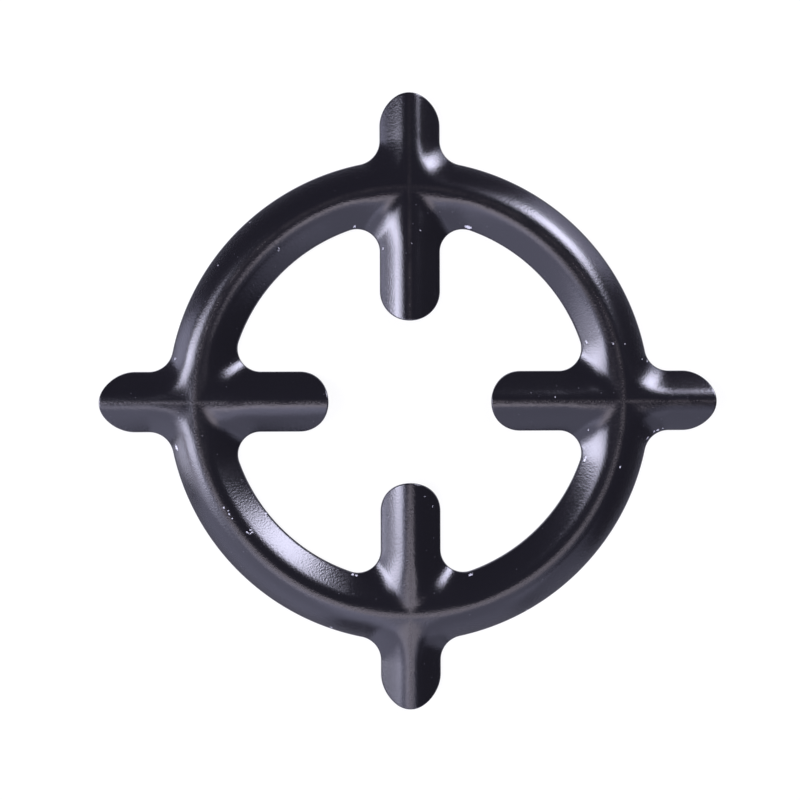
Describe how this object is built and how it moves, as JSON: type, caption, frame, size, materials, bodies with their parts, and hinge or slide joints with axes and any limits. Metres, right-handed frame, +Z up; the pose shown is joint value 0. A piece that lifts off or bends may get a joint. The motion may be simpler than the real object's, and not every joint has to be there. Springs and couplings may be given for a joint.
{
  "type": "gas hob reducer ring",
  "caption": "Pressed steel ring with short arms across it in a cross, each reaching inwards and outwards, that lets a small pot stand over a gas burner.",
  "frame": {"origin": "centre of the ring, on the surface that its rims stand on", "axes": "+Z up through the middle of the ring, towards the pot; +X and +Y along the arms"},
  "size_m": [0.144, 0.144, 0.0046],
  "materials": {
    "black_enamel": "satin black vitreous enamel on pressed steel"
  },
  "bodies": {
    "root": {"reducer_ring": "black_enamel"}
  },
  "joints": []
}
